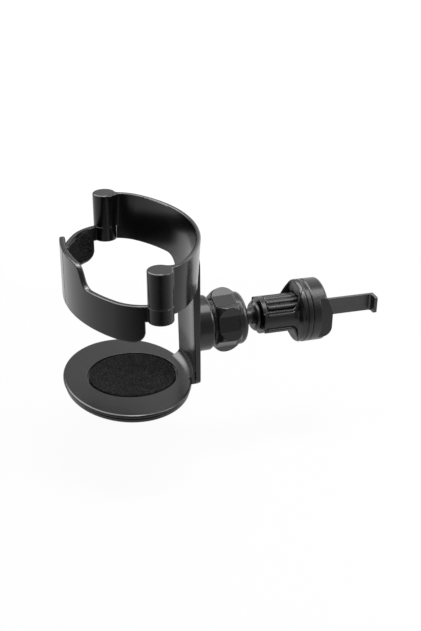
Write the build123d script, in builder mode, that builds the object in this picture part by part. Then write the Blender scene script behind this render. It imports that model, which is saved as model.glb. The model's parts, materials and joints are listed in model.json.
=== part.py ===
"""Car cup holder: a ring with two sprung arms on a strut, and a ball joint to a hook clip for an air vent."""
from math import atan2, cos, degrees, radians, sin
import os

from build123d import *

os.makedirs("parts", exist_ok=True)

# Millimetres, +Z up. The cup's axis is Z and the base pad's top face is Z = 0.
# +X points back, towards the vent. The arm hinges stand at -Y (near) and +Y (far).

# Ring: a half-oval band with a hinge boss at each end
band_depth = 29.7
band_half_width = 46.4
band_corner = 20.0
band_wall = 2.0
band_lean = 1.5
band_top = 70.6
band_bottom = 49.0
band_edge_round = 0.7
hinge_x = 1.0
hinge_inset = 0.4
boss_radius = 5.35
boss_bottom = 55.4
boss_blend = 1.6
boss_inner_blend = 4.0
hinge_gap = 0.2
sleeve_bottom = 48.2
sleeve_round = 0.4
sleeve_clearance = 0.5

# Strut and foot
strut_width = 25.6
strut_wall = 2.4
strut_blend = 6.5
strut_top = 57.0
strut_bottom = -4.2
strut_top_corner = 4.0
strut_corner = 3.0
strut_edge_round = 0.5
foot_radius = 5.0
foot_margin = 1.2

# Base plate and its pad
base_setback = 1.5
base_length = 56.6
base_width = 72.8
base_plate = 1.3
base_edge_round = 0.8
base_groove = 0.9
base_lip = 1.3
base_groove_depth = 1.6
base_lip_inset = 0.7
pad_radius = 20.0
pad_thickness = 1.6
pad_rise = 0.3
pad_gap = 0.5

# Arms
arm_depth = 28.4
arm_corner = 20.0
arm_wall = 2.4
arm_bottom = 38.9
arm_tip_top = 64.3
arm_rise_start = 21.5
arm_rise_end = 17.0
arm_rise_round = 5.0
arm_end_x = -5.2
arm_end_round = 5.0
arm_edge_round = 0.6
tip_gap = 0.5
liner_margin = 1.4
liner_recess = 0.8
liner_thickness = 1.2
liner_corner = 3.0
liner_fit = 0.1
liner_end_x = -7.0

# Pivot screws and springs in the hinge bosses
pivot_radius = 2.0
pivot_clearance = 0.05
pivot_thread_radius = 1.55
pivot_thread_length = 3.8
pivot_head_radius = 3.4
pivot_head_height = 1.8
pivot_head_clearance = 0.3
pivot_head_seat = 2.5
spring_pocket_radius = 4.1
spring_coil_radius = 3.05
spring_wire_radius = 0.45
spring_pitch = 1.9
spring_turns = 4
spring_end_gap = 0.7
spring_leg = 1.4

# Ball joint
axis_z = 20.4
socket_radius = 12.6
socket_length = 6.3
socket_round = 1.8
collet_radius = 10.5
collet_length = 13.0
collet_chamfer = 1.0
collet_slot = 1.2
collet_slots = 4
collet_slot_length = 10.0
ball_radius = 8.5
ball_clearance = 0.05
ball_lip_reach = 4.0
nut_gap = 1.7
nut_length = 14.2
nut_ridge_length = 11.3
nut_turn = 45.0
nut_collar = 4.4
nut_collar_radius = 12.1
nut_collar_round = 2.4
nut_ridges = 6
nut_floor_radius = 12.1
nut_floor_angle = 33.0
nut_crest_radius = 15.0
nut_end_radius = 11.8
nut_mouth_radius = 7.5
nut_cone_length = 3.2
nut_clearance = 0.05
neck_radius = 3.75
neck_reach = 12.0
flange_radius = 6.95
flange_thickness = 2.7
flange_chamfer = 0.9

# Clip body, which hangs a little nose-down on the ball
clip_droop = 1.55
swivel_gap = 0.3
spigot_radius = 3.0
spigot_clearance = 0.05
rear_wall = 1.2
rear_collar = 2.1
rear_radius = 9.5
rear_ring_radius = 8.5
barrel_radius = 9.8
barrel_end = 11.9
skirt_length = 5.5
skirt_radius = 14.2
rim_radius = 14.6
rim_crease = 0.2
rim_length = 2.6
rim_groove = 0.4
cavity_clearance = 0.3
window_half_height = 4.0
window_half_width = 8.8
window_end = 15.9
window_corner = 5.0
window_lip_side = 0.45
window_lip_end = 1.4
window_lip_height = 0.5
window_lip_round = 0.3
stud_screw_head_radius = 4.2
stud_screw_head = 1.2
stud_screw_radius = 1.25
stud_screw_length = 7.0
screw_clearance = 0.05

# Adjusting wheel
wheel_length = 16.2
wheel_lobes = 16
wheel_radius = 8.7
wheel_lobe_radius = 1.72
wheel_core_radius = 7.8
wheel_end_chamfer = 0.6
wheel_end_gap = 0.3
hub_radius = 6.0
rear_hub = 0.6
front_hub = 1.4
hub_clearance = 0.05

# Front cap, its ears and screws
cap_radius = 14.6
cap_length = 7.7
cap_round = 1.2
cap_collar_clearance = 0.1
cap_bore_depth = 3.8
cap_flat_start = 3.8
slot_clearance = 0.1
ear_outer = 11.0
ear_thickness = 5.0
ear_reach = 3.0
ear_half_height = 9.6
ear_nose_top = 2.0
ear_round = 1.0
ear_chin = 4.5
cap_screw_offset = 11.4
cap_screw_radius = 1.0
cap_screw_head_radius = 1.8
cap_screw_head = 1.5
cap_screw_sink = 0.3
cap_screw_length = 8.3

# Hook
hook_thickness = 1.5
hook_height = 8.1
hook_tail = 7.9
hook_reach = 28.5
hook_lip = 5.0
hook_bend = 1.0
hook_corner = 0.9
hook_thread_radius = 4.6
hook_thread_length = 7.0
hook_thread_clearance = 0.05

# Places that follow from the sizes
hinge_y = band_half_width - hinge_inset
base_top = -pad_rise
base_thickness = base_plate + base_groove + base_lip
sleeve_top = boss_bottom - hinge_gap
pivot_seat = sleeve_bottom + pivot_head_seat
coil_start = boss_bottom + spring_end_gap
coil_height = spring_turns * spring_pitch
spring_pocket_depth = coil_height + 2 * spring_end_gap
spring_pocket_top = boss_bottom + spring_pocket_depth
socket_face = band_depth + socket_length
collet_end = socket_face + collet_length
ball_x = collet_end - ball_lip_reach
nut_start = socket_face + nut_gap
nut_end = nut_start + nut_length
flange_start = ball_x + neck_reach
flange_end = flange_start + flange_thickness
body_start = flange_end + swivel_gap
barrel_start = body_start + barrel_radius - rear_radius
cavity_start = body_start + rear_collar
hub_seat = body_start + rear_wall
skirt_start = cavity_start + barrel_end
rim_start = skirt_start + skirt_length
body_end = rim_start + rim_length
cap_front = body_end + cap_length
wheel_start = cavity_start + wheel_end_gap
wheel_end = wheel_start + wheel_length
cavity_radius = wheel_radius + cavity_clearance
lip_outer_x = cap_front + hook_reach
ear_inner = ear_outer - ear_thickness
strut_face = band_depth - strut_wall
base_centre_x = strut_face - base_setback - base_length / 2
cap_collar = body_end - wheel_end - wheel_end_gap
cap_screw_depth = cap_screw_length - (cap_length - cap_screw_sink - cap_screw_head)

hinges = [(hinge_x, -hinge_y), (hinge_x, hinge_y)]
near_hinge = hinges[0]
back = 1
front = -1
clip_way = Vector(cos(radians(clip_droop)), 0, -sin(radians(clip_droop)))
socket_plane = Plane(origin=(0, 0, axis_z), x_dir=(1, 0, 0), z_dir=(0, -1, 0))
clip_plane = Plane(origin=Vector(ball_x, 0, axis_z) - clip_way * ball_x, x_dir=clip_way, z_dir=(0, -1, 0))
clip_level = Plane(origin=clip_plane.origin, x_dir=clip_way, z_dir=clip_plane.y_dir)
socket_axis = Axis(socket_plane.origin, socket_plane.x_dir)
clip_axis = Axis(clip_plane.origin, clip_plane.x_dir)


def across(axis, x):
    """Gives the plane square to a turned piece's axis at x, with Y to the right."""
    return Plane(origin=axis.position + axis.direction * x, x_dir=(0, 1, 0), z_dir=axis.direction)


def half_oval(side, depth, corner, inset):
    """Draws a closed half oval of three tangent arcs behind or in front of the hinges, taken in by inset."""
    half_width = band_half_width
    long_radius = (depth**2 + half_width**2 - 2 * half_width * corner) / (2 * (depth - corner))
    shift = half_width - corner
    turn = degrees(atan2(shift, long_radius - depth))
    middle = 0 if side == back else 180
    CenterArc((0, -shift), corner - inset, -90, side * (90 - turn))
    CenterArc((side * (depth - long_radius), 0), long_radius - inset, middle - side * turn, side * 2 * turn)
    CenterArc((0, shift), corner - inset, middle + side * turn, side * (90 - turn))
    Line((0, half_width - inset), (0, inset - half_width))


def arm_ring(outer_inset, inner_inset, end_y):
    """Fills the near arm's plan between two insets, up to end_y at its tip, in the open sketch."""
    with BuildSketch() as ring:
        with BuildLine():
            half_oval(front, arm_depth, arm_corner, outer_inset)
        make_face()
        with BuildLine():
            half_oval(front, arm_depth, arm_corner, inner_inset)
        make_face(mode=Mode.SUBTRACT)
        with Locations((0, end_y - band_half_width)):
            Rectangle(4 * arm_depth, 2 * band_half_width, mode=Mode.INTERSECT)
    add(ring.sketch_local)


def back_wall(low, high, low_insets, high_insets):
    """Makes the half-oval wall between two heights, with its two insets at each, in an empty part."""
    for mode, low_inset, high_inset in zip((Mode.ADD, Mode.SUBTRACT), low_insets, high_insets):
        sections = []
        for height, inset in ((low, low_inset), (high, high_inset)):
            with BuildSketch(Plane.XY.offset(height)) as section:
                with BuildLine():
                    half_oval(back, band_depth, band_corner, inset)
                make_face()
            sections.append(section.sketch)
        loft(sections, ruled=True, mode=mode)


def outline(*points):
    """Fills the closed outline through the points, in the open sketch."""
    Polygon(*points, align=None)


def round_cut(sketch_plane, places, radius, depth):
    """Bores a round hole at each place of a plane, to a depth along the plane's normal, in the open part."""
    with BuildSketch(sketch_plane) as holes:
        with Locations(*places):
            Circle(radius)
    extrude(holes.sketch, amount=depth, mode=Mode.SUBTRACT)


# Back frame: band, hinge bosses, strut, foot, base plate and ball socket, moulded as one
with BuildPart() as strut:
    back_wall(strut_bottom, band_bottom, (0, strut_wall), (0, band_lean + band_wall))
    with BuildSketch(Plane.XY.offset(band_bottom)):
        with BuildLine():
            half_oval(back, band_depth, band_corner, 0)
        make_face()
        with BuildLine():
            half_oval(back, band_depth, band_corner, band_wall)
        make_face(mode=Mode.SUBTRACT)
    extrude(amount=strut_top - band_bottom)
    with BuildSketch(Plane.YZ):
        with Locations((0, (strut_top + strut_bottom) / 2)):
            Rectangle(strut_width, strut_top - strut_bottom)
        fillet(vertices().group_by(Axis.Y)[0], strut_corner)
        fillet(vertices().group_by(Axis.Y)[-1], strut_top_corner)
    extrude(amount=2 * band_depth, mode=Mode.INTERSECT)
    sides = edges().group_by(Axis.Y)
    fillet(sides[0] + sides[-1], strut_edge_round)
with BuildPart() as armpits:
    armpit_insets = (band_lean, band_lean + band_wall)
    back_wall(band_bottom - strut_blend, band_bottom, armpit_insets, armpit_insets)
    with BuildSketch(Plane.YZ):
        with Locations((0, band_bottom)):
            Rectangle(strut_width + 2 * strut_blend, strut_blend, align=(Align.CENTER, Align.MAX))
        with Locations((0, band_bottom - strut_blend)):
            with GridLocations(strut_width + 2 * strut_blend, 1, 2, 1):
                Circle(strut_blend, mode=Mode.SUBTRACT)
    extrude(amount=2 * band_depth, mode=Mode.INTERSECT)
with BuildPart() as foot:
    wall_middle = strut_face + strut_wall / 2
    foot_edge = strut_face - foot_radius
    with BuildSketch(Plane.XZ):
        with BuildLine():
            Polyline(
                (foot_edge, base_top),
                (foot_edge, base_top - base_thickness),
                (wall_middle, base_top - base_thickness),
                (wall_middle, base_top + foot_radius),
                (strut_face, base_top + foot_radius),
            )
            RadiusArc((strut_face, base_top + foot_radius), (foot_edge, base_top), foot_radius)
        make_face()
    band_radius = (band_depth**2 + band_half_width**2 - 2 * band_half_width * band_corner) / (
        2 * (band_depth - band_corner)
    )
    revolve(axis=Axis((band_depth - band_radius, 0, 0), (0, 0, 1)))
    with BuildSketch(Plane.YZ):
        with Locations((0, base_top - base_thickness)):
            Rectangle(strut_width - 2 * foot_margin, 2 * (foot_radius + base_thickness))
    extrude(amount=2 * band_depth, mode=Mode.INTERSECT)
with BuildPart() as base:
    groove_top = base_top - base_plate
    lip_top = groove_top - base_groove
    for low, high, inset in (
        (groove_top, base_top, 0),
        (lip_top, groove_top, base_groove_depth),
        (lip_top - base_lip, lip_top, base_lip_inset),
    ):
        with BuildSketch(Plane.XY.offset(low)):
            with Locations((base_centre_x, 0)):
                Ellipse(base_length / 2 - inset, base_width / 2 - inset)
        extrude(amount=high - low)
    fillet(faces().sort_by(Axis.Z)[-1].edges(), base_edge_round)
with BuildPart() as back_frame:
    back_wall(band_bottom, band_top, (band_lean, band_lean + band_wall), (0, band_wall))
    with BuildSketch(Plane.XY.offset(boss_bottom)):
        with Locations(*hinges):
            Circle(boss_radius)
    extrude(amount=band_top - boss_bottom)
    boss_joints = edges(Select.NEW).sort_by(SortBy.LENGTH)[-2 * len(hinges) :]
    boss_joints = boss_joints.sort_by(lambda joint: abs(joint.center().Y))
    fillet(boss_joints[: len(hinges)], boss_inner_blend)
    fillet(boss_joints[len(hinges) :], boss_blend)
    fillet(faces().sort_by(Axis.Z)[-1].edges(), band_edge_round)
    round_cut(Plane.XY.offset(boss_bottom), hinges, boss_radius + sleeve_clearance, band_bottom - boss_bottom)
    add(strut.part)
    add(armpits.part)
    add(foot.part)

    add(base.part)

    with BuildSketch(socket_plane):
        outline(
            (wall_middle, 0),
            (wall_middle, socket_radius),
            (socket_face, socket_radius),
            (socket_face, collet_radius),
            (collet_end - collet_chamfer, collet_radius),
            (collet_end, collet_radius - collet_chamfer),
            (collet_end, 0),
        )
        fillet(vertices().group_by(Axis.Y)[-1].sort_by(Axis.X)[-1], socket_round)
    revolve(axis=socket_axis)
    with Locations((ball_x, 0, axis_z)):
        Sphere(ball_radius + ball_clearance, mode=Mode.SUBTRACT)
    with BuildSketch(across(socket_axis, collet_end)):
        with PolarLocations(0, collet_slots):
            Rectangle(2 * collet_radius, collet_slot, align=(Align.MIN, Align.CENTER))
    extrude(amount=-collet_slot_length, mode=Mode.SUBTRACT)

    round_cut(Plane.XY, [(0, 0)], pad_radius + pad_gap, -pad_thickness)
    round_cut(Plane.XY.offset(boss_bottom), hinges, spring_pocket_radius, spring_pocket_depth)
    thread_bore = pivot_thread_radius + screw_clearance
    round_cut(Plane.XY.offset(spring_pocket_top), hinges, thread_bore, pivot_thread_length)
    leg_bore = spring_wire_radius + screw_clearance
    leg_places = [(hinge_x + spring_coil_radius, y) for x, y in hinges]
    round_cut(Plane.XY.offset(spring_pocket_top), leg_places, leg_bore, spring_leg)
back_frame.part.label = "back_frame"
export_step(back_frame.part, "parts/back_frame.step")

# Base pad: foam disc glued into the base plate's recess
with BuildPart() as base_pad:
    with BuildSketch(Plane.XY):
        Circle(pad_radius)
    extrude(amount=-pad_thickness)
base_pad.part.label = "base_pad"
export_step(base_pad.part, "parts/base_pad.step")


def liner_block(grow, inner_inset):
    """Makes the foam liner's curved block, grown by grow at its edges, in the open part."""
    low = arm_bottom + liner_margin - grow
    high = sleeve_top - liner_margin + grow
    tip = -tip_gap / 2 - liner_margin + grow
    with BuildSketch(Plane.XY.offset(low)) as plan:
        arm_ring(arm_wall - liner_recess, inner_inset, tip)
    extrude(plan.sketch, amount=high - low)
    with BuildSketch(Plane.XZ) as side_view:
        with Locations((liner_end_x + grow, (low + high) / 2)):
            RectangleRounded(4 * arm_depth, high - low, liner_corner, align=(Align.MAX, Align.CENTER))
    extrude(side_view.sketch, amount=2 * band_half_width, mode=Mode.INTERSECT)


# Near arm: curved plate with a raised tip, on a hinge sleeve that turns under the boss
with BuildPart() as liner_pocket:
    liner_block(liner_fit, 2 * arm_wall)
with BuildPart() as sleeve:
    sleeve_height = sleeve_top - sleeve_bottom
    with BuildSketch(Plane.XY.offset(sleeve_bottom)):
        with Locations(near_hinge):
            Circle(boss_radius)
    extrude(amount=sleeve_height)
    fillet(edges().filter_by(GeomType.CIRCLE), sleeve_round)
with BuildPart() as near_arm:
    with BuildSketch(Plane.XY.offset(arm_bottom)):
        arm_ring(0, arm_wall, -tip_gap / 2)
    extrude(amount=arm_tip_top - arm_bottom)
    with BuildSketch(Plane.YZ):
        with BuildLine():
            FilletPolyline(
                (-2 * band_half_width, sleeve_top),
                (-arm_rise_start, sleeve_top),
                (-arm_rise_end, arm_tip_top),
                (0, arm_tip_top),
                radius=arm_rise_round,
            )
            Polyline(
                (0, arm_tip_top),
                (0, arm_bottom),
                (-2 * band_half_width, arm_bottom),
                (-2 * band_half_width, sleeve_top),
            )
        make_face()
    extrude(amount=2 * arm_depth, both=True, mode=Mode.INTERSECT)
    with BuildSketch(Plane.XZ):
        with BuildLine():
            FilletPolyline(
                (-2 * arm_depth, arm_bottom),
                (arm_end_x, arm_bottom),
                (arm_end_x, arm_tip_top),
                radius=arm_end_round,
            )
            Polyline((arm_end_x, arm_tip_top), (-2 * arm_depth, arm_tip_top), (-2 * arm_depth, arm_bottom))
        make_face()
        with Locations((arm_end_x, sleeve_bottom)):
            Rectangle(arm_depth, sleeve_top - sleeve_bottom, align=(Align.MIN, Align.MIN))
    extrude(amount=2 * band_half_width, mode=Mode.INTERSECT)
    fillet(faces().filter_by(Axis.Z).edges().filter_by(GeomType.CIRCLE), arm_edge_round)
    add(sleeve.part)
    head_bore = pivot_head_radius + pivot_head_clearance
    round_cut(Plane.XY.offset(sleeve_bottom), [near_hinge], pivot_radius + pivot_clearance, sleeve_height)
    round_cut(Plane.XY.offset(sleeve_bottom), [near_hinge], head_bore, pivot_head_seat)
    add(liner_pocket.part, mode=Mode.SUBTRACT)
near_arm.part.label = "near_arm"
export_step(near_arm.part, "parts/near_arm.step")

# Far arm: the near arm's mirror image
with BuildPart() as far_arm:
    mirror(near_arm.part, about=Plane.XZ)
far_arm.part.label = "far_arm"
export_step(far_arm.part, "parts/far_arm.step")

# Arm pads: foam liners glued into the arms' inner faces
with BuildPart() as near_arm_pad:
    liner_block(0, arm_wall - liner_recess + liner_thickness)
near_arm_pad.part.label = "near_arm_pad"
export_step(near_arm_pad.part, "parts/near_arm_pad.step")
with BuildPart() as far_arm_pad:
    mirror(near_arm_pad.part, about=Plane.XZ)
far_arm_pad.part.label = "far_arm_pad"
export_step(far_arm_pad.part, "parts/far_arm_pad.step")

# Pivot screws: shoulder screws that come up through the sleeves and seat in the bosses
with BuildPart() as pivot_screws:
    for start, radius, end in (
        (pivot_seat - hinge_gap / 2 - pivot_head_height, pivot_head_radius, pivot_seat - hinge_gap / 2),
        (pivot_seat - hinge_gap / 2, pivot_radius, spring_pocket_top),
        (spring_pocket_top, pivot_thread_radius, spring_pocket_top + pivot_thread_length),
    ):
        with BuildSketch(Plane.XY.offset(start)):
            with Locations(*hinges):
                Circle(radius)
        extrude(amount=end - start)
pivot_screws.part.label = "pivot_screws"
export_step(pivot_screws.part, "parts/pivot_screws.step")

# Arm springs: torsion coils round the pivot screws, each with its upper leg in the boss
with BuildPart() as near_arm_spring:
    with BuildLine():
        coil = Helix(spring_pitch, coil_height, spring_coil_radius, center=(hinge_x, -hinge_y, coil_start))
    with BuildSketch(Plane(origin=coil @ 0, z_dir=coil % 0)):
        RegularPolygon(spring_wire_radius, 6)
    sweep()
    with BuildSketch(Plane.XY.offset((coil @ 1).Z)):
        with Locations(((coil @ 1).X, (coil @ 1).Y)):
            RegularPolygon(spring_wire_radius, 6)
    extrude(amount=spring_end_gap + spring_leg)
near_arm_spring.part.label = "near_arm_spring"
export_step(near_arm_spring.part, "parts/near_arm_spring.step")
with BuildPart() as far_arm_spring:
    mirror(near_arm_spring.part, about=Plane.XZ)
far_arm_spring.part.label = "far_arm_spring"
export_step(far_arm_spring.part, "parts/far_arm_spring.step")

# Lock nut: crowned ridges round a bore, with a plain rounded collar at the open end
ridge_pitch = 360 / nut_ridges
ridge_profile = []
for ridge in range(nut_ridges):
    for angle, radius in (
        (-nut_floor_angle / 2, nut_floor_radius),
        (nut_floor_angle / 2, nut_floor_radius),
        (ridge_pitch / 2, nut_crest_radius),
    ):
        turn = radians(nut_turn + ridge * ridge_pitch + angle)
        ridge_profile.append((radius * cos(turn), radius * sin(turn)))
ridge_end = nut_start + nut_ridge_length
collar_start = nut_end - nut_collar
with BuildPart() as lock_nut:
    with BuildSketch(across(socket_axis, nut_start)):
        outline(*ridge_profile)
    extrude(amount=nut_ridge_length)
    with BuildSketch(socket_plane):
        with BuildLine():
            ThreePointArc(
                (nut_start, nut_end_radius),
                ((nut_start + ridge_end) / 2, nut_crest_radius),
                (ridge_end, nut_end_radius),
            )
            Polyline((ridge_end, nut_end_radius), (ridge_end, 0), (nut_start, 0), (nut_start, nut_end_radius))
        make_face()
    revolve(axis=socket_axis, mode=Mode.INTERSECT)
    with BuildSketch(socket_plane):
        outline(
            (collar_start, 0),
            (collar_start, nut_collar_radius),
            (nut_end, nut_collar_radius),
            (nut_end, 0),
        )
        fillet(vertices().group_by(Axis.Y)[-1].sort_by(Axis.X)[-1], nut_collar_round)
    revolve(axis=socket_axis)
    with BuildSketch(socket_plane):
        outline(
            (nut_start, 0),
            (nut_start, collet_radius + nut_clearance),
            (nut_end - nut_cone_length, collet_radius + nut_clearance),
            (nut_end, nut_mouth_radius),
            (nut_end, 0),
        )
    revolve(axis=socket_axis, mode=Mode.SUBTRACT)
lock_nut.part.label = "lock_nut"
export_step(lock_nut.part, "parts/lock_nut.step")

# Ball stud: ball, neck, round flange and the spigot that turns in the clip body's rear wall
spigot_end = hub_seat + spigot_clearance
with BuildPart() as ball_stud:
    with Locations((ball_x, 0, axis_z)):
        Sphere(ball_radius)
    with BuildSketch(clip_plane):
        outline(
            (ball_x, 0),
            (ball_x, neck_radius),
            (flange_start, neck_radius),
            (flange_start, flange_radius),
            (flange_end, flange_radius),
            (flange_end, spigot_radius),
            (spigot_end, spigot_radius),
            (spigot_end, 0),
        )
        chamfer(vertices().group_by(Axis.Y)[-1], flange_chamfer)
    revolve(axis=clip_axis)
    screw_bore = stud_screw_radius + screw_clearance
    round_cut(across(clip_axis, spigot_end), [(0, 0)], screw_bore, -stud_screw_length)
ball_stud.part.label = "ball_stud"
export_step(ball_stud.part, "parts/ball_stud.step")

# Stud screw: holds the stud in the rear wall, with its wide head inside the wheel's bore
with BuildPart() as stud_screw:
    with BuildSketch(clip_plane):
        outline(
            (spigot_end - stud_screw_length, 0),
            (spigot_end - stud_screw_length, stud_screw_radius),
            (spigot_end, stud_screw_radius),
            (spigot_end, stud_screw_head_radius),
            (spigot_end + stud_screw_head, stud_screw_head_radius),
            (spigot_end + stud_screw_head, 0),
        )
    revolve(axis=clip_axis)
stud_screw.part.label = "stud_screw"
export_step(stud_screw.part, "parts/stud_screw.step")


def barrel_profile(grow):
    """Fills the half profile of the clip's barrel and flare, grown by grow, in the open sketch."""
    barrel = barrel_radius + grow
    flare_end = (rim_start, skirt_radius + grow)
    with BuildSketch() as profile:
        with BuildLine():
            Polyline((barrel_start, 0), (barrel_start, barrel), (skirt_start, barrel))
            Spline((skirt_start, barrel), flare_end, tangents=((1, 0), (1, 0)))
            Polyline(flare_end, (rim_start, 0), (barrel_start, 0))
        make_face()
    add(profile.sketch_local)


def window_plan(side_grow, end_grow):
    """Fills the windows' outline from above, grown at its sides and its end, in the open sketch."""
    end = cavity_start + window_end + end_grow
    length = end - body_start + 2 * window_corner
    width = 2 * (window_half_width + side_grow)
    with Locations((end, 0)):
        RectangleRounded(length, width, window_corner + side_grow, align=(Align.MAX, Align.CENTER))


# Clip body: barrel with a lipped window above and below, and a flared skirt with a round rim
with BuildPart() as window_lips:
    with BuildSketch(clip_plane):
        barrel_profile(window_lip_height)
    revolve(axis=clip_axis)
    with BuildSketch(clip_level):
        window_plan(window_lip_side, window_lip_end)
    extrude(amount=2 * rim_radius, both=True, mode=Mode.INTERSECT)
    upright = edges().filter_by(Axis(clip_level.origin, clip_level.z_dir))
    barrel_ends = edges().filter_by(GeomType.CIRCLE).group_by(clip_axis)[:2]
    fillet(edges() - upright - barrel_ends[0] - barrel_ends[1], window_lip_round)
with BuildPart() as windows:
    for side in (1, -1):
        with BuildSketch(clip_level.offset(side * window_half_height)):
            window_plan(0, 0)
        extrude(amount=side * rim_radius)
    round_cut(across(clip_axis, body_start - rear_wall), [(0, 0)], rear_ring_radius, rear_wall + rear_collar)
with BuildPart() as clip_body:
    with BuildSketch(clip_plane):
        barrel_profile(0)
        outline((body_start, 0), (body_start, rear_radius), (barrel_start, barrel_radius), (barrel_start, 0))
        outline(
            (rim_start, 0),
            (rim_start, skirt_radius),
            (rim_start + rim_crease, skirt_radius - rim_crease),
            (rim_start + 2 * rim_crease, rim_radius),
            (body_end - rim_groove, rim_radius),
            (body_end, rim_radius - rim_groove),
            (body_end, 0),
        )
    revolve(axis=clip_axis)
    add(window_lips.part)
    round_cut(across(clip_axis, cavity_start), [(0, 0)], cavity_radius, body_end - cavity_start)
    add(windows.part, mode=Mode.SUBTRACT)
    round_cut(across(clip_axis, hub_seat), [(0, 0)], hub_radius + hub_clearance, cavity_start - hub_seat)
    round_cut(across(clip_axis, body_start), [(0, 0)], spigot_radius + spigot_clearance, rear_wall)
    screw_places = [(0, cap_screw_offset), (0, -cap_screw_offset)]
    round_cut(across(clip_axis, body_end), screw_places, cap_screw_radius + screw_clearance, -cap_screw_depth)
clip_body.part.label = "clip_body"
export_step(clip_body.part, "parts/clip_body.step")

# Adjusting wheel: lobed drum with a hub at each end and the hook's thread inside
hub_start = wheel_start - wheel_end_gap - rear_hub
hub_length = wheel_end + front_hub - hub_start
with BuildPart() as adjusting_wheel:
    with BuildSketch(across(clip_axis, wheel_start)):
        Circle(wheel_core_radius)
        with PolarLocations(wheel_radius - wheel_lobe_radius, wheel_lobes):
            Circle(wheel_lobe_radius)
    extrude(amount=wheel_length)
    with BuildSketch(clip_plane):
        outline(
            (wheel_start, 0),
            (wheel_start, wheel_radius - wheel_end_chamfer),
            (wheel_start + wheel_end_chamfer, wheel_radius),
            (wheel_end - wheel_end_chamfer, wheel_radius),
            (wheel_end, wheel_radius - wheel_end_chamfer),
            (wheel_end, 0),
        )
    revolve(axis=clip_axis, mode=Mode.INTERSECT)
    with BuildSketch(across(clip_axis, hub_start)):
        Circle(hub_radius)
    extrude(amount=hub_length)
    round_cut(across(clip_axis, hub_start), [(0, 0)], hook_thread_radius + hook_thread_clearance, hub_length)
adjusting_wheel.part.label = "adjusting_wheel"
export_step(adjusting_wheel.part, "parts/adjusting_wheel.step")

# Front cap: thick round cap with a slot for the hook and an ear on each side of it
collar_back = body_end - cap_collar
with BuildPart() as front_cap:
    with BuildSketch(clip_plane):
        outline((body_end, 0), (body_end, cap_radius), (cap_front, cap_radius), (cap_front, 0))
        chamfer(vertices().group_by(Axis.Y)[-1].sort_by(Axis.X)[0], rim_groove)
        fillet(vertices().group_by(Axis.Y)[-1].sort_by(Axis.X)[-1], cap_round)
    revolve(axis=clip_axis)
    with BuildSketch(across(clip_axis, body_end)):
        Circle(cavity_radius - cap_collar_clearance)
    extrude(amount=-cap_collar)
    for side in (1, -1):
        with BuildSketch(clip_plane.offset(side * ear_inner)):
            outline(
                (body_end + cap_flat_start, ear_half_height),
                (cap_front, ear_half_height),
                (cap_front + ear_reach, ear_nose_top),
                (cap_front + ear_reach, -ear_half_height),
                (body_end + cap_flat_start, -ear_half_height),
            )
            nose = vertices().group_by(Axis.X)[-1].sort_by(Axis.Y)
            fillet(nose[0], ear_chin)
            fillet(nose[1], ear_round)
        extrude(amount=side * ear_thickness)
        with BuildSketch(clip_plane.offset(side * ear_outer)):
            with Locations((body_end + cap_flat_start, 0)):
                Rectangle(2 * cap_length, 2 * cap_radius, align=(Align.MIN, Align.CENTER))
        extrude(amount=side * cap_radius, mode=Mode.SUBTRACT)
    round_cut(across(clip_axis, collar_back), [(0, 0)], hub_radius + hub_clearance, cap_bore_depth)
    with BuildSketch(across(clip_axis, collar_back)):
        Rectangle(hook_thickness + 2 * slot_clearance, hook_height + 2 * slot_clearance)
    extrude(amount=cap_collar + cap_length, mode=Mode.SUBTRACT)
    round_cut(across(clip_axis, body_end), screw_places, cap_screw_radius + screw_clearance, cap_length)
    sink = cap_screw_head + cap_screw_sink
    round_cut(across(clip_axis, cap_front), screw_places, cap_screw_head_radius + screw_clearance, -sink)
front_cap.part.label = "front_cap"
export_step(front_cap.part, "parts/front_cap.step")

# Cap screws: small pan-head screws from the cap's front into the skirt's rim
head_front = cap_front - cap_screw_sink
with BuildPart() as cap_screws:
    with BuildSketch(across(clip_axis, head_front)):
        with Locations(*screw_places):
            Circle(cap_screw_head_radius)
    extrude(amount=-cap_screw_head)
    with BuildSketch(across(clip_axis, head_front - cap_screw_head)):
        with Locations(*screw_places):
            Circle(cap_screw_radius)
    extrude(amount=-cap_screw_length)
cap_screws.part.label = "cap_screws"
export_step(cap_screws.part, "parts/cap_screws.step")

# Hook: flat metal strip with a bent lip, and a threaded zone at its tail inside the wheel
tail_x = cavity_start + hook_tail
half_strip = hook_thickness / 2
with BuildPart() as hook:
    with BuildSketch(clip_level.offset(-hook_height / 2)):
        outline(
            (tail_x, half_strip),
            (lip_outer_x, half_strip),
            (lip_outer_x, -hook_lip),
            (lip_outer_x - hook_thickness, -hook_lip),
            (lip_outer_x - hook_thickness, -half_strip),
            (tail_x, -half_strip),
        )
        inner_bend = vertices().group_by(Axis.Y)[1].sort_by(Axis.X)[-1]
        outer_bend = vertices().group_by(Axis.Y)[-1].sort_by(Axis.X)[-1]
        fillet(inner_bend, hook_bend)
        fillet(outer_bend, hook_bend + hook_thickness)
    extrude(amount=hook_height)
    fillet(edges().group_by(Axis.Y)[0].filter_by(clip_axis), hook_corner)
    with BuildSketch(across(clip_axis, tail_x)):
        Circle(hook_thread_radius)
        Rectangle(hook_thickness, 2 * hook_thread_radius, mode=Mode.INTERSECT)
    extrude(amount=hook_thread_length)
hook.part.label = "hook"
export_step(hook.part, "parts/hook.step")
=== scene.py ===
"""Car cup holder, dressed: gloss and satin black plastics, foam pads and a dark steel hook."""
import json
from math import acos, atan2, cos, pi, radians, sin, sqrt

import bmesh
import bpy
from mathutils import Matrix, Vector, noise


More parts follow.
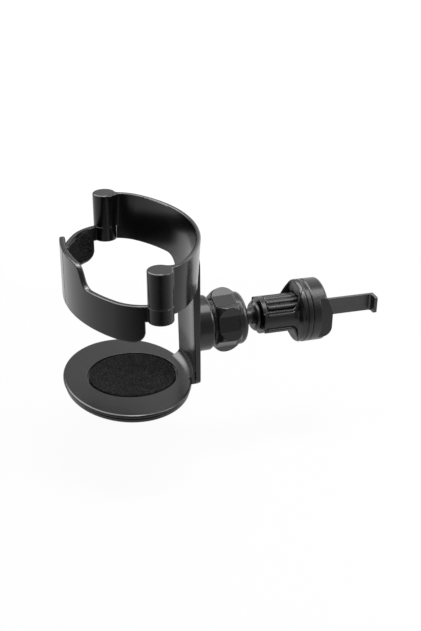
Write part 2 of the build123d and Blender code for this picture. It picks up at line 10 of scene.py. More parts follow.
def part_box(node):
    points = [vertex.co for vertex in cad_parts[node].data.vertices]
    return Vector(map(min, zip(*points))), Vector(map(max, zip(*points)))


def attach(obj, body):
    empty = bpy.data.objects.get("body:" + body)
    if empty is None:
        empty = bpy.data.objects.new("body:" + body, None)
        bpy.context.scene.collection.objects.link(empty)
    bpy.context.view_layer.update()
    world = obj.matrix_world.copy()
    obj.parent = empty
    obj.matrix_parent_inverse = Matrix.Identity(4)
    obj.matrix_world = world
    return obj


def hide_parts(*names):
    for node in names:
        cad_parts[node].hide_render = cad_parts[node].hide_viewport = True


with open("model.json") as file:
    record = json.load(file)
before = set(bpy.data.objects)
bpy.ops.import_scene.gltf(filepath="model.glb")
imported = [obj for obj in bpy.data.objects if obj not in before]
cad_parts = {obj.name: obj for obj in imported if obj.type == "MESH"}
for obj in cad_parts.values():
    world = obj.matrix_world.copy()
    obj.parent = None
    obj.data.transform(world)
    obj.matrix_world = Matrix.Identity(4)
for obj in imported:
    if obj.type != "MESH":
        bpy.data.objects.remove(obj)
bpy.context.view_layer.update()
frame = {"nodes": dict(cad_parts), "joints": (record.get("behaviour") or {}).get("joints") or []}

# Back frame: the ring's rear half, the hinge bosses, the strut, the base plate and the ball socket.
# It is one moulding in black ABS, taken from a polished tool, so it is glossy with a faint flow ripple.
MOULDED_EDGE = 0.0005


class Wire:
    """A socket in a node tree. Sums on wires and numbers add Math nodes."""

    def __init__(self, tree, socket=None):
        self.tree = tree
        self.socket = socket

    def node(self, kind, settings=None, sockets=None, out=0):
        """Adds a node, gives it its settings and then its sockets, and returns the wire of one output."""
        made = self.tree.nodes.new(kind)
        for name, value in (settings or {}).items():
            if name == "stops":
                ramp = made.color_ramp.elements
                while len(ramp) < len(value):
                    ramp.new(1.0)
                for stop, (place, colour) in zip(ramp, value):
                    stop.position = place
                    stop.color = colour
            else:
                setattr(made, name, value)
        for name, value in (sockets or {}).items():
            if isinstance(value, Wire):
                self.tree.links.new(value.socket, made.inputs[name])
            else:
                made.inputs[name].default_value = value
        return Wire(self.tree, made.outputs[out] if made.outputs else None)

    def sum(self, operation, first, second):
        return self.node("ShaderNodeMath", {"operation": operation}, {0: first, 1: second})

    def __add__(self, other):
        return self.sum("ADD", self, other)

    def __radd__(self, other):
        return self.sum("ADD", other, self)

    def __sub__(self, other):
        return self.sum("SUBTRACT", self, other)

    def __rsub__(self, other):
        return self.sum("SUBTRACT", other, self)

    def __mul__(self, other):
        return self.sum("MULTIPLY", self, other)

    def __rmul__(self, other):
        return self.sum("MULTIPLY", other, self)

    def __truediv__(self, other):
        return self.sum("DIVIDE", self, other)

    def __rtruediv__(self, other):
        return self.sum("DIVIDE", other, self)

    def __pow__(self, other):
        return self.sum("POWER", self, other)

    def __rpow__(self, other):
        return self.sum("POWER", other, self)


def start_finish(name):
    """Makes an empty material and gives the wire that adds to it, with its Object coordinates."""
    material = bpy.data.materials.new(name)
    material.use_nodes = True
    material.node_tree.nodes.clear()
    tree = Wire(material.node_tree)
    return material, tree, tree.node("ShaderNodeTexCoord", out="Object")


def mottle(tree, place, scale, detail, roughness=0.5):
    """Gives a noise pattern with this many cells to the metre."""
    return tree.node(
        "ShaderNodeTexNoise",
        sockets={"Vector": place, "Scale": scale, "Detail": detail, "Roughness": roughness},
    )


def drawn_out(tree, place, shares):
    """Gives the place scaled by these shares, so that a pattern on it runs out into lines."""
    return tree.node("ShaderNodeMapping", sockets={"Vector": place, "Scale": shares})


def shades(tree, amount, *stops):
    """Gives a colour that runs through these stops as the amount rises."""
    return tree.node(
        "ShaderNodeValToRGB",
        {"stops": [(place, (*colour, 1.0)) for place, colour in stops]},
        {"Fac": amount},
    )


def bumps(tree, height, strength, depth, edge=0.0):
    """Gives the normal of a raised surface, with its edges rounded where a radius is given."""
    sockets = {"Strength": strength, "Distance": depth, "Height": height}
    if edge:
        sockets["Normal"] = tree.node("ShaderNodeBevel", {"samples": 4}, {"Radius": edge})
    return tree.node("ShaderNodeBump", sockets=sockets)


def end_finish(tree, sockets):
    """Ends a material in one Principled shader with these sockets."""
    shader = tree.node("ShaderNodeBsdfPrincipled", sockets=sockets)
    tree.node("ShaderNodeOutputMaterial", sockets={"Surface": shader})


def paint(material, *nodes):
    """Gives CAD nodes a finish."""
    for node in nodes:
        frame["nodes"][node].data.materials.clear()
        frame["nodes"][node].data.materials.append(material)


gloss_black, tree, place = start_finish("gloss_black_abs")
ripple = mottle(tree, place, scale=260.0, detail=2.0)
grain = mottle(tree, place, scale=5200.0, detail=3.0)
cloud = mottle(tree, place, scale=45.0, detail=4.0)
hairlines = mottle(tree, drawn_out(tree, place, (1.0, 0.12, 2.2)), scale=900.0, detail=3.0)
tint = shades(tree, cloud, (0.35, (0.0032, 0.0032, 0.0034)), (0.7, (0.0052, 0.0052, 0.0055)))
height = ripple * 0.6 + grain * 0.05 + hairlines * 0.1
relief = bumps(tree, height, strength=0.25, depth=0.00004, edge=MOULDED_EDGE)
end_finish(
    tree,
    {
        "Base Color": tint,
        "Roughness": 0.15 + cloud * 0.06 + hairlines * 0.05,
        "Specular IOR Level": 0.6,
        "Normal": relief,
    },
)
paint(gloss_black, "back_frame")

# Base pad: a die-cut disc of fine-celled black foam, glued into the base plate's recess.
# Its top is open-celled, its cut edge is rounded, and a dark gap is left round it.
PAD_RADIUS = 0.0196
PAD_DEPTH = 0.0016
PAD_EDGE = 0.0006
PAD_SPOKES = 180
PAD_RINGS = 44
EDGE_STEPS = 4
GRAIN_REACH = 0.00036
GRAIN_SINK = 0.00006
CELL_RISE = 0.000035
CELL_SCALE = 1500.0
LUMP_RISE = 0.00003
LUMP_SCALE = 420.0

foam_black, tree, place = start_finish("open_celled_foam")
cells = tree.node("ShaderNodeTexVoronoi", sockets={"Vector": place, "Scale": 2300.0, "Randomness": 1.0})
specks = mottle(tree, place, scale=2000.0, detail=3.0, roughness=0.7)
cloud = mottle(tree, place, scale=240.0, detail=2.0)
tint = shades(
    tree,
    specks * 0.9 + cloud * 0.1,
    (0.42, (0.0035, 0.0035, 0.0036)),
    (0.52, (0.014, 0.014, 0.0143)),
    (0.62, (0.064, 0.064, 0.065)),
)
relief = bumps(tree, cells * 0.6 + specks * 0.6, strength=0.8, depth=0.00015)
end_finish(tree, {"Base Color": tint, "Roughness": 0.95, "Specular IOR Level": 0.04, "Normal": relief})


def piece(name, body, mesh, material):
    """Puts a finished mesh in the scene as a piece that rides on a body."""
    mesh.name = name
    mesh.materials.clear()
    mesh.materials.append(material)
    for face in mesh.polygons:
        face.use_smooth = True
    made = bpy.data.objects.new(name, mesh)
    bpy.context.scene.collection.objects.link(made)
    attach(made, body)
    return made


def foam_height(point):
    """Gives how far the foam's open cells raise a point, in metres."""
    return CELL_RISE * noise.noise(point * CELL_SCALE) + LUMP_RISE * noise.noise(point * LUMP_SCALE)


def skin(rows):
    """Makes a closed mesh from rows of points, each row a loop or one end point."""
    work = bmesh.new()
    previous = None
    for row in rows:
        loop = [work.verts.new(point) for point in row]
        if previous:
            count = max(len(previous), len(loop))
            for n in range(count):
                corners = [previous[n % len(previous)], previous[(n + 1) % len(previous)]]
                corners += [loop[(n + 1) % len(loop)], loop[n % len(loop)]]
                work.faces.new(list(dict.fromkeys(corners)))
        previous = loop
    bmesh.ops.recalc_face_normals(work, faces=work.faces)
    mesh = bpy.data.meshes.new("skin")
    work.to_mesh(mesh)
    work.free()
    return mesh


def circle(radius, height, count):
    """Gives the points of a level circle, or one point where the radius is nothing."""
    if radius == 0.0:
        return [Vector((0.0, 0.0, height))]
    turns = [2 * pi * n / count for n in range(count)]
    return [Vector((radius * cos(turn), radius * sin(turn), height)) for turn in turns]


def quarter(steps):
    """Gives the turns of a quarter circle in this many steps."""
    return [pi / 2 * step / steps for step in range(steps + 1)]


profile = [
    (0.0, -PAD_DEPTH),
    (PAD_RADIUS / 2, -PAD_DEPTH),
    (PAD_RADIUS, -PAD_DEPTH),
    (PAD_RADIUS, -PAD_DEPTH / 2),
]
for turn in quarter(EDGE_STEPS):
    profile.append((PAD_RADIUS - PAD_EDGE * (1 - cos(turn)), -PAD_EDGE * (1 - sin(turn))))
for ring in range(PAD_RINGS - 1, -1, -1):
    profile.append(((PAD_RADIUS - PAD_EDGE) * ring / PAD_RINGS, 0.0))
base_mesh = skin([circle(radius, height, PAD_SPOKES) for radius, height in profile])
for vert in base_mesh.vertices:
    if vert.co.z > -GRAIN_REACH:
        vert.co.z += foam_height(vert.co) - GRAIN_SINK
base_foam = piece("base_foam", "holder", base_mesh, foam_black)
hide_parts("base_pad")

# Pivot screws: shoulder screws in plain zinc-plated steel, driven up through the sleeves into the bosses.
# Only their pan heads with a cross recess show, from below.
PIVOT_HEAD_RADIUS = 0.0034
PIVOT_HEAD_HEIGHT = 0.0018
PIVOT_RECESS = {"half_length": 0.002, "half_width": 0.00042, "depth": 0.0011}
PIVOT_SHOULDER_RADIUS = 0.002
PIVOT_THREAD_RADIUS = 0.00155
PIVOT_THREAD_DEPTH = 0.0002
PIVOT_THREAD_LENGTH = 0.0038
PIVOT_THREAD_TURNS = 6
PIVOT_TIP_RADIUS = 0.00115
SCREW_SPOKES = 96
HEAD_RINGS = 24
HEAD_ROUND = 0.3
RECESS_WALL = 0.00012
RECESS_END = 0.0003
RECESS_RISE = 0.5
THREAD_PITCH = 0.0006
THREAD_LEAD = 0.0001

bright_steel, tree, place = start_finish("zinc_plated_steel")
spots = mottle(tree, place, scale=1400.0, detail=4.0)
tint = shades(tree, spots, (0.3, (0.42, 0.42, 0.43)), (0.7, (0.6, 0.6, 0.6)))
relief = bumps(tree, spots, strength=0.2, depth=0.00002)
end_finish(tree, {"Base Color": tint, "Metallic": 1.0, "Roughness": 0.28 + spots * 0.2, "Normal": relief})


def clipped(share):
    """Keeps a share between 0 and 1."""
    return min(1.0, max(0.0, share))


def cross_screw(head_radius, head_height, steps, half_length, half_width, depth):
    """Makes a pan-head screw, its head's face at the origin looking along -Z, and its shank up along +Z."""
    edge = head_height * HEAD_ROUND
    rows = []
    for step in range(HEAD_RINGS + 1):
        row = circle((head_radius - edge) * step / HEAD_RINGS, 0.0, SCREW_SPOKES)
        for point in row:
            reach = max(abs(point.x), abs(point.y))
            narrow = min(abs(point.x), abs(point.y))
            inside = clipped((half_width - narrow) / RECESS_WALL)
            inside *= clipped((half_length - reach) / RECESS_END)
            point.z = depth * inside * (1 - RECESS_RISE * (reach / half_length) ** 2)
        rows.append(row)
    for turn in quarter(EDGE_STEPS)[1:]:
        rows.append(circle(head_radius - edge * (1 - sin(turn)), edge * (1 - cos(turn)), SCREW_SPOKES))
    rows.append(circle(head_radius, head_height, SCREW_SPOKES))
    rows += [circle(radius, height, SCREW_SPOKES) for radius, height in steps]
    return skin(rows)


def thread_steps(radius, depth, start, turns):
    """Gives the steps of a screw's thread: for each turn a crest, and half a pitch on a root."""
    steps = []
    for turn in range(turns):
        crest = start + turn * THREAD_PITCH
        steps += [(radius, crest), (radius - depth, crest + THREAD_PITCH / 2)]
    return steps


def grown(name, inputs, shape, material):
    """Runs a Geometry Nodes tree with named inputs and gives its result as a plain mesh."""
    tree = bpy.data.node_groups.new(name, "GeometryNodeTree")
    tree.interface.new_socket("Geometry", in_out="OUTPUT", socket_type="NodeSocketGeometry")
    values = {}
    for label, (kind, value) in inputs.items():
        socket = tree.interface.new_socket(label, in_out="INPUT", socket_type=kind)
        values[socket.identifier] = value
    entry = tree.nodes.new("NodeGroupInput")
    wire = Wire(tree)
    made = shape(wire, {label: Wire(tree, entry.outputs[label]) for label in inputs})
    made = wire.node("GeometryNodeRealizeInstances", sockets={"Geometry": made})
    made = wire.node("GeometryNodeSetMaterial", sockets={"Geometry": made, "Material": material})
    wire.node("NodeGroupOutput", sockets={"Geometry": made})
    holder = bpy.data.objects.new(name, bpy.data.meshes.new(name))
    bpy.context.scene.collection.objects.link(holder)
    modifier = holder.modifiers.new(name, "NODES")
    modifier.node_group = tree
    for identifier, value in values.items():
        modifier[identifier] = value
    mesh = bpy.data.meshes.new_from_object(holder.evaluated_get(bpy.context.evaluated_depsgraph_get()))
    holder.modifiers.remove(modifier)
    bpy.data.objects.remove(holder)
    return mesh


def taken_in(wire, pattern):
    """Gives the shape of the object that an input names."""
    settings = {"transform_space": "ORIGINAL"}
    return wire.node("GeometryNodeObjectInfo", settings, {"Object": pattern}, "Geometry")


def screw_pair(wire, inputs):
    """Sets one screw at each end of a line."""
    line = wire.node(
        "GeometryNodeMeshLine",
        {"mode": "END_POINTS"},
        {"Count": 2, "Start Location": (0.0, 0.0, 0.0), "Offset": inputs["Second place"]},
    )
    return wire.node(
        "GeometryNodeInstanceOnPoints",
        sockets={"Points": line, "Instance": taken_in(wire, inputs["Screw"])},
    )


def screws(name, body, node, mesh, place, second_place):
    """Sets a pair of like screws: the first at its place, the second that far from it."""
    mesh.transform(place)
    pattern = bpy.data.objects.new(f"{name}_pattern", mesh)
    bpy.context.scene.collection.objects.link(pattern)
    inputs = {"Screw": ("NodeSocketObject", pattern), "Second place": ("NodeSocketVector", second_place)}
    pair = piece(name, body, grown(name, inputs, screw_pair, bright_steel), bright_steel)
    bpy.data.objects.remove(pattern)
    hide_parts(node)


pivot_low, pivot_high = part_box("pivot_screws")
pivot_length = pivot_high.z - pivot_low.z
hinge_x = (pivot_low.x + pivot_high.x) / 2
shoulder_end = pivot_length - PIVOT_THREAD_LENGTH
pivot_steps = [
    (PIVOT_SHOULDER_RADIUS, PIVOT_HEAD_HEIGHT),
    (PIVOT_SHOULDER_RADIUS, shoulder_end),
    (PIVOT_THREAD_RADIUS, shoulder_end),
]
pivot_steps += thread_steps(
    PIVOT_THREAD_RADIUS, PIVOT_THREAD_DEPTH, shoulder_end + THREAD_LEAD, PIVOT_THREAD_TURNS
)
pivot_steps += [(PIVOT_TIP_RADIUS, pivot_length), (0.0, pivot_length)]
screws(
    "pivot_screw_pair",
    "holder",
    "pivot_screws",
    cross_screw(PIVOT_HEAD_RADIUS, PIVOT_HEAD_HEIGHT, pivot_steps, **PIVOT_RECESS),
    Matrix.Translation((hinge_x, pivot_low.y + PIVOT_HEAD_RADIUS, pivot_low.z)),
    (0.0, pivot_high.y - pivot_low.y - 2 * PIVOT_HEAD_RADIUS, 0.0),
)

# Arm springs: torsion coils of the same zinc-plated steel, wound from wire and set in the hinge bosses.
# They close the arms on the cup, and the bosses hide them.
paint(bright_steel, "near_arm_spring", "far_arm_spring")

# Arms: two curved plates in the same gloss black ABS, each with a raised lip at its tip.
# Each turns on a sleeve under its hinge boss.
paint(gloss_black, "near_arm", "far_arm")

# Arm pads: strips of the same foam, die-cut with round corners and glued into the arms' inner faces.
# Each follows its arm's two arcs from the tip to the hinge, and its cut edges are soft.
ARM_DEPTH = 0.0284
ARM_HALF_WIDTH = 0.0464
ARM_CORNER = 0.020
STRIP_BACK = 0.0016
STRIP_FACE = 0.0028
STRIP_CORNER = 0.003
STRIP_EDGE = 0.0004
END_STEPS = 5
CORNER_STEPS = 9
HALF_STEPS = 60
FACE_STEPS = 32

pad_low, pad_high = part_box("near_arm_pad")
arm_excess = ARM_DEPTH**2 + ARM_HALF_WIDTH**2 - 2 * ARM_HALF_WIDTH * ARM_CORNER
long_radius = arm_excess / (2 * (ARM_DEPTH - ARM_CORNER))
corner_shift = ARM_HALF_WIDTH - ARM_CORNER
strip_middle = (STRIP_BACK + STRIP_FACE) / 2
long_middle = long_radius - strip_middle
corner_middle = ARM_CORNER - strip_middle
tip_turn = -pad_high.y / long_middle
long_turn = atan2(corner_shift, long_radius - ARM_DEPTH)
end_turn = acos(-pad_high.x / corner_middle)
long_run = (long_turn - tip_turn) * long_middle
strip_length = long_run + (end_turn - long_turn) * corner_middle


def on_arm(along, inset, height):
    """Gives the point of the near arm this far along from its tip, this far in from its outer face."""
    if along < long_run:
        turn = tip_turn + along / long_middle
        radius = long_radius - inset
        return Vector((long_radius - ARM_DEPTH - radius * cos(turn), -radius * sin(turn), height))
    turn = long_turn + (along - long_run) / corner_middle
    radius = ARM_CORNER - inset
    return Vector((-radius * cos(turn), -corner_shift - radius * sin(turn), height))


def eased(distance, radius):
    """Gives how far a round corner has drawn in at this distance from its end."""
    if distance >= radius:
        return 0.0
    return radius - sqrt(radius**2 - (radius - distance) ** 2)


def strip_section(from_end):
    """Gives the strip's outline this far from its nearer end, as insets and heights."""
    drawn = eased(from_end, STRIP_CORNER)
    low = pad_low.z + drawn
    high = pad_high.z - drawn
    face = STRIP_FACE - eased(from_end, STRIP_EDGE)
    round_edge = []
    for turn in quarter(EDGE_STEPS):
        round_edge.append((face - STRIP_EDGE * (1 - sin(turn)), STRIP_EDGE * (1 - cos(turn))))
    outline = [(STRIP_BACK, low), (STRIP_BACK, high)]
    outline += [(inset, high - rise) for inset, rise in round_edge]
    for step in range(1, FACE_STEPS):
        outline.append((face, high - STRIP_EDGE - (high - low - 2 * STRIP_EDGE) * step / FACE_STEPS))
    outline += [(inset, low + rise) for inset, rise in reversed(round_edge)]
    return outline


stations = [STRIP_EDGE * (1 - cos(turn)) for turn in quarter(END_STEPS)]
stations += [STRIP_EDGE + (STRIP_CORNER - STRIP_EDGE) * n / CORNER_STEPS for n in range(1, CORNER_STEPS)]
stations += [STRIP_CORNER + (strip_length / 2 - STRIP_CORNER) * n / HALF_STEPS for n in range(HALF_STEPS)]
stations += [strip_length - along for along in reversed(stations)]
for side, way in (("near", 1), ("far", -1)):
    rows = []
    for along in stations:
        row = []
        for inset, height in strip_section(min(along, strip_length - along)):
            point = on_arm(along, inset, height)
            if inset > STRIP_BACK:
                point = on_arm(along, inset + foam_height(point), height)
            row.append(Vector((point.x, way * point.y, point.z)))
        rows.append(row)
    ends = [[sum(row, Vector()) / len(row)] for row in (rows[0], rows[-1])]
    strip_mesh = skin([ends[0], *rows, ends[1]])
    arm_foam = piece(f"{side}_arm_foam", f"{side}_arm", strip_mesh, foam_black)
    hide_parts(f"{side}_arm_pad")

# Lock nut, ball stud and hook clip: moulded in black glass-filled nylon from a finely spark-eroded tool.
# The surface is satin with a fine grain. The screw that holds the stud in the clip is zinc-plated steel.
satin_black, tree, place = start_finish("satin_black_nylon")
grain = mottle(tree, place, scale=3600.0, detail=4.0, roughness=0.65)
cloud = mottle(tree, place, scale=70.0, detail=3.0)
tint = shades(tree, cloud, (0.3, (0.0042, 0.0042, 0.0044)), (0.7, (0.0066, 0.0066, 0.0069)))
relief = bumps(tree, grain, strength=0.3, depth=0.00003, edge=MOULDED_EDGE)
end_finish(
    tree,
    {
        "Base Color": tint,
        "Roughness": 0.19 + cloud * 0.06 + grain * 0.05,
        "Specular IOR Level": 0.6,
        "Normal": relief,
    },
)
paint(satin_black, "lock_nut", "ball_stud", "clip_body", "adjusting_wheel", "front_cap")
paint(bright_steel, "stud_screw")

# Window beads: the raised round edge that frames each of the clip's windows, moulded on the clip body.
# Each runs along the window's two sides and climbs round its front end on the flared skirt.
BARREL_RADIUS = 0.0098
SKIRT_RADIUS = 0.0142
SKIRT_START = 0.0740
SKIRT_LENGTH = 0.0055
BEAD_RADIUS = 0.0006
BEAD_RISE = 0.0003
BEAD_SIDE = 0.0094
BEAD_REAR = 0.0617
BEAD_FRONT = 0.0785
BEAD_CORNER = 0.0052
BEAD_SPOKES = 12
BEAD_STATIONS = 160
SIDE_STEPS = 20
TURN_STEPS = 16
FRONT_STEPS = 8

wheel_turn = next(joint for joint in frame["joints"] if joint["name"] == "wheel_turn")
ball_place = Vector(wheel_turn["pos_m"])
clip_way = Vector(wheel_turn["axis"])
clip_up = clip_way.cross((0.0, -1.0, 0.0)).normalized()


def on_clip(along, aside, up):
    """Gives the point this far along the clip's axis, to its side and up from it."""
    return ball_place + clip_way * (along - ball_place.x) + Vector((0.0, aside, 0.0)) + clip_up * up


def bead_height(along):
    """Gives the bead's distance from the axis: proud of the barrel, sinking into the S-curved flare."""
    share = clipped((along - SKIRT_START) / SKIRT_LENGTH)
    flare = (SKIRT_RADIUS - BARREL_RADIUS) * share**2 * (3 - 2 * share)
    return BARREL_RADIUS + flare + BEAD_RISE * (1 - 2 * share)


def swept(wire, path, spokes, radius):
    """Sweeps a round section along a path."""
    section = wire.node(
        "GeometryNodeCurvePrimitiveCircle",
        {"mode": "RADIUS"},
        {"Resolution": spokes, "Radius": radius},
    )
    return wire.node(
        "GeometryNodeCurveToMesh",
        sockets={"Curve": path, "Profile Curve": section, "Fill Caps": True},
    )


def bead(wire, inputs):
    """Lays a round bead along a path."""
    path = taken_in(wire, inputs["Path"])
    path = wire.node("GeometryNodeResampleCurve", sockets={"Curve": path, "Count": inputs["Stations"]})
    return swept(wire, path, BEAD_SPOKES, inputs["Radius"])


side_run = BEAD_FRONT - BEAD_CORNER - BEAD_REAR
front_run = BEAD_SIDE - BEAD_CORNER
bead_plan = [(BEAD_REAR + side_run * n / SIDE_STEPS, BEAD_SIDE) for n in range(SIDE_STEPS)]
for turn in quarter(TURN_STEPS):
    along = BEAD_FRONT - BEAD_CORNER * (1 - sin(turn))
    aside = BEAD_SIDE - BEAD_CORNER * (1 - cos(turn))
    bead_plan.append((along, aside))
bead_plan += [(BEAD_FRONT, front_run * (1 - n / FRONT_STEPS)) for n in range(1, FRONT_STEPS + 1)]
bead_plan += [(along, -aside) for along, aside in reversed(bead_plan[:-1])]
for side, way in (("upper", 1), ("lower", -1)):
    path = bpy.data.curves.new(f"{side}_bead_path", "CURVE")
    path.dimensions = "3D"
    spline = path.splines.new("POLY")
    spline.points.add(len(bead_plan) - 1)
    for point, (along, aside) in zip(spline.points, bead_plan):
        up = way * sqrt(bead_height(along) ** 2 - aside**2)
        point.co = (*on_clip(along, aside, up), 1.0)
    path_object = bpy.data.objects.new(f"{side}_bead_path", path)
    bpy.context.scene.collection.objects.link(path_object)
    bead_inputs = {
        "Path": ("NodeSocketObject", path_object),
        "Radius": ("NodeSocketFloat", BEAD_RADIUS),
        "Stations": ("NodeSocketInt", BEAD_STATIONS),
    }
    bead_mesh = grown(f"{side}_window_bead", bead_inputs, bead, satin_black)
    bpy.data.objects.remove(path_object)
    piece(f"{side}_window_bead", "clip", bead_mesh, satin_black)

# Collet thread: the coarse moulded thread that the lock nut runs on, part of the back frame.
# One turn and a half of it shows in the gap between the socket and the nut.
COLLET_RADIUS = 0.0105
SOCKET_FACE = 0.0360
COLLET_TURNS = 1.5
COLLET_RIDGE = 0.00028
COLLET_START = 0.0003
COLLET_END = 0.0004
RIDGE_SPOKES = 8
RIDGE_STATIONS = 64

nut_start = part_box("lock_nut")[0].x


def thread(wire, inputs):
    """Winds a ridge round the X axis."""
    spiral = wire.node(
        "GeometryNodeCurveSpiral",
        sockets={
            "Resolution": RIDGE_STATIONS,
            "Rotations": inputs["Turns"],
            "Start Radius": inputs["Radius"],
            "End Radius": inputs["Radius"],
            "Height": inputs["Length"],
        },
    )
    ridge = swept(wire, spiral, RIDGE_SPOKES, inputs["Ridge"])
    return wire.node(
        "GeometryNodeTransform",
        sockets={"Geometry": ridge, "Translation": inputs["Start"], "Rotation": (0.0, pi / 2, 0.0)},
    )


thread_inputs = {
    "Turns": ("NodeSocketFloat", COLLET_TURNS),
    "Radius": ("NodeSocketFloat", COLLET_RADIUS),
    "Length": ("NodeSocketFloat", nut_start - SOCKET_FACE - COLLET_START - COLLET_END),
    "Ridge": ("NodeSocketFloat", COLLET_RIDGE),
    "Start": ("NodeSocketVector", (SOCKET_FACE + COLLET_START, 0.0, ball_place.z)),
}
thread_mesh = grown("collet_thread", thread_inputs, thread, gloss_black)
piece("collet_thread", "holder", thread_mesh, gloss_black)

# Cap screws: two small pan-head screws in the same zinc-plated steel, one above and one below the hook.
# Their heads are sunk in the front cap, and their threads cut into the clip body.
CAP_HEAD_RADIUS = 0.0018
CAP_HEAD_HEIGHT = 0.0015
CAP_HEAD_FACE = 0.0895
CAP_RECESS = {"half_length": 0.0011, "half_width": 0.00026, "depth": 0.0007}
CAP_SCREW_RADIUS = 0.001
CAP_SCREW_LENGTH = 0.0098
CAP_SCREW_OFFSET = 0.0114
CAP_PLAIN_LENGTH = 0.002
CAP_THREAD_DEPTH = 0.00018
CAP_THREAD_TURNS = 10
CAP_TIP_RADIUS = 0.0007

head_place = on_clip(CAP_HEAD_FACE, 0.0, CAP_SCREW_OFFSET)
cap_place = Matrix.Translation(head_place) @ (-clip_way).to_track_quat("Z", "Y").to_matrix().to_4x4()
cap_thread_start = CAP_HEAD_HEIGHT + CAP_PLAIN_LENGTH
cap_steps = [(CAP_SCREW_RADIUS, CAP_HEAD_HEIGHT)]
cap_steps += thread_steps(CAP_SCREW_RADIUS, CAP_THREAD_DEPTH, cap_thread_start, CAP_THREAD_TURNS)
cap_steps += [(CAP_TIP_RADIUS, CAP_SCREW_LENGTH), (0.0, CAP_SCREW_LENGTH)]
screws(
    "cap_screw_pair",
    "clip",
    "cap_screws",
    cross_screw(CAP_HEAD_RADIUS, CAP_HEAD_HEIGHT, cap_steps, **CAP_RECESS),
    cap_place,
    tuple(-2 * CAP_SCREW_OFFSET * clip_up),
)

# Hook: a strip of black-coated spring steel, stamped and bent, with a satin face and fine rolling lines.
# Its threaded root runs in the thumb wheel, which draws the hook in and out of the clip.
HOOK_EDGE = 0.00025

dark_steel, tree, place = start_finish("black_coated_steel")
lines = mottle(tree, drawn_out(tree, place, (0.06, 1.0, 1.0)), scale=2600.0, detail=3.0)
cloud = mottle(tree, place, scale=160.0, detail=3.0)
tint = shades(tree, lines * 0.6 + cloud * 0.4, (0.3, (0.085, 0.085, 0.086)), (0.7, (0.12, 0.12, 0.121)))
relief = bumps(tree, lines, strength=0.2, depth=0.00002, edge=HOOK_EDGE)
end_finish(tree, {"Base Color": tint, "Metallic": 1.0, "Roughness": 0.3 + lines * 0.12, "Normal": relief})
paint(dark_steel, "hook")

# Studio: a white floor that runs out of sight in a white tent, with three soft boxes.
# Glossy faces see a window behind the clip, a panel at the back left and a dark tent round the camera.
# The floor is low enough for the holder to tilt and roll above it, held by its clip.
FLOOR = -0.038
FLOOR_REACH = 6.0
FLOOR_WHITE = (0.9, 0.9, 0.9, 1.0)
SHADOW_SHARE = 0.05
MIDDLE_X = 0.03
NEAR_REACH = 0.12
FAR_REACH = 0.2
NEAR_GLOW = 0.75
DARK_GLOW = 0.05
DARK_SPREAD = 0.55
CAMERA_TURN = radians(-18.57)
CAMERA_RISE = radians(26.28)
CAMERA_AIM = Vector((0.0372, 0.0, 0.0234))
CAMERA_DISTANCE = 0.5107
CAMERA_LENS = 64.46
CAMERA_SENSOR = 36.0
WINDOW_TURN = CAMERA_TURN + radians(135.0)
WINDOW_GLOW = 2.0
WINDOW_FALL = 4.0
TENT_LIGHT = 0.2
TENT_GLOW = 0.28
TOP_GLOW = 0.7
TOP_START = 0.4
TOP_FULL = 0.9
PANEL_WAY = Vector((-0.4, 0.4, 0.82)).normalized()
PANEL_GLOW = 5.0
PANEL_START = 0.77
PANEL_FULL = 0.87
POLE_GUARD = 0.0001
SOFT_BOXES = (
    # name, place, aim, side and power
    ("soft_box_over_ring", (0.03, 0.12, 0.9), (0.0, 0.0, 0.05), 0.22, 3.0),
    ("soft_box_over_clip", (0.3, -0.08, 0.9), (0.05, 0.0, 0.03), 0.5, 3.2),
    ("soft_box_right", (0.7, -0.35, 0.5), (0.05, 0.0, 0.03), 0.4, 3.0),
)


def eased_step(tree, value, low, high):
    """Gives a smooth rise from 0 to 1 between two values."""
    return tree.node(
        "ShaderNodeMapRange",
        {"interpolation_type": "SMOOTHSTEP"},
        {"Value": value, "From Min": low, "From Max": high},
    )


def part_of(tree, vector, axis):
    """Gives one part of a vector."""
    return tree.node("ShaderNodeSeparateXYZ", sockets={"Vector": vector}, out=axis)


def ray(tree, kind):
    """Tells whether a ray is of this kind."""
    return tree.node("ShaderNodeLightPath", out=f"Is {kind} Ray")


work = bmesh.new()
bmesh.ops.create_grid(work, x_segments=2, y_segments=2, size=FLOOR_REACH)
floor_mesh = bpy.data.meshes.new("floor")
work.to_mesh(floor_mesh)
work.free()
floor_mesh.transform(Matrix.Translation((0.0, 0.0, FLOOR)))
floor = bpy.data.objects.new("floor", floor_mesh)
bpy.context.scene.collection.objects.link(floor)
paper, tree, place = start_finish("white_floor")
across = part_of(tree, place, "X") - MIDDLE_X
along = part_of(tree, place, "Y")
distance = (across * across + along * along) ** 0.5
facing = (across * sin(CAMERA_TURN) - along * cos(CAMERA_TURN)) / distance
far_glow = DARK_GLOW + (0.5 - 0.5 * facing) ** DARK_SPREAD
lit = NEAR_GLOW + eased_step(tree, distance, NEAR_REACH, FAR_REACH) * (far_glow - NEAR_GLOW)
camera_ray = ray(tree, "Camera")
seen = tree.sum("MAXIMUM", ray(tree, "Glossy"), ray(tree, "Transmission"))
matt = tree.node("ShaderNodeBsdfDiffuse", sockets={"Color": FLOOR_WHITE})
glow = tree.node("ShaderNodeEmission", sockets={"Strength": tree.sum("MAXIMUM", camera_ray, lit)})
glow_share = tree.sum("MAXIMUM", camera_ray * (1 - SHADOW_SHARE), seen)
shown = tree.node("ShaderNodeMixShader", sockets={0: glow_share, 1: matt, 2: glow})
tree.node("ShaderNodeOutputMaterial", sockets={"Surface": shown})
floor_mesh.materials.append(paper)

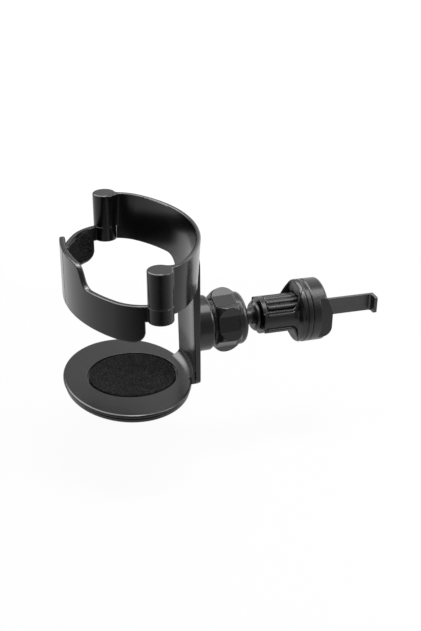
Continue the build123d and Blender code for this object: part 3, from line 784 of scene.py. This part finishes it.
world = bpy.data.worlds.new("tent")
bpy.context.scene.world = world
world.use_nodes = True
world.node_tree.nodes.clear()
sky = Wire(world.node_tree)
way = sky.node("ShaderNodeTexCoord", out="Generated")
across = part_of(sky, way, "X")
along = part_of(sky, way, "Y")
upward = part_of(sky, way, "Z")
level = (across * across + along * along + POLE_GUARD) ** 0.5
towards_window = (across * sin(WINDOW_TURN) - along * cos(WINDOW_TURN)) / level
window = sky.sum("MAXIMUM", towards_window, 0.0) ** WINDOW_FALL
overhead = eased_step(sky, upward, TOP_START, TOP_FULL)
towards_panel = across * PANEL_WAY.x + along * PANEL_WAY.y + upward * PANEL_WAY.z
panel = PANEL_GLOW * eased_step(sky, towards_panel, PANEL_START, PANEL_FULL)
tent = (TENT_GLOW + WINDOW_GLOW * window) * (1.0 - overhead) + TOP_GLOW * overhead + panel
seen = sky.sum("MAXIMUM", ray(sky, "Glossy"), ray(sky, "Transmission"))
shell = sky.node(
    "ShaderNodeBackground",
    sockets={
        "Color": (1.0, 1.0, 1.0, 1.0),
        "Strength": sky.sum("MAXIMUM", ray(sky, "Camera"), TENT_LIGHT + seen * (tent - TENT_LIGHT)),
    },
)
sky.node("ShaderNodeOutputWorld", sockets={"Surface": shell})

for name, place, aim, size, power in SOFT_BOXES:
    lamp = bpy.data.lights.new(name, "AREA")
    lamp.size = size
    lamp.energy = power
    box = bpy.data.objects.new(name, lamp)
    box.location = place
    box.rotation_euler = (Vector(aim) - Vector(place)).to_track_quat("-Z", "Y").to_euler()
    bpy.context.scene.collection.objects.link(box)

camera = bpy.data.objects.new("camera", bpy.data.cameras.new("camera"))
camera.data.lens = CAMERA_LENS
camera.data.sensor_width = CAMERA_SENSOR
towards = Vector((sin(CAMERA_TURN), -cos(CAMERA_TURN), 0.0)) * cos(CAMERA_RISE)
towards.z = sin(CAMERA_RISE)
camera.location = CAMERA_AIM + towards * CAMERA_DISTANCE
camera.rotation_euler = (-towards).to_track_quat("-Z", "Y").to_euler()
bpy.context.scene.collection.objects.link(camera)
bpy.context.scene.camera = camera
bpy.context.scene.view_settings.view_transform = "Standard"
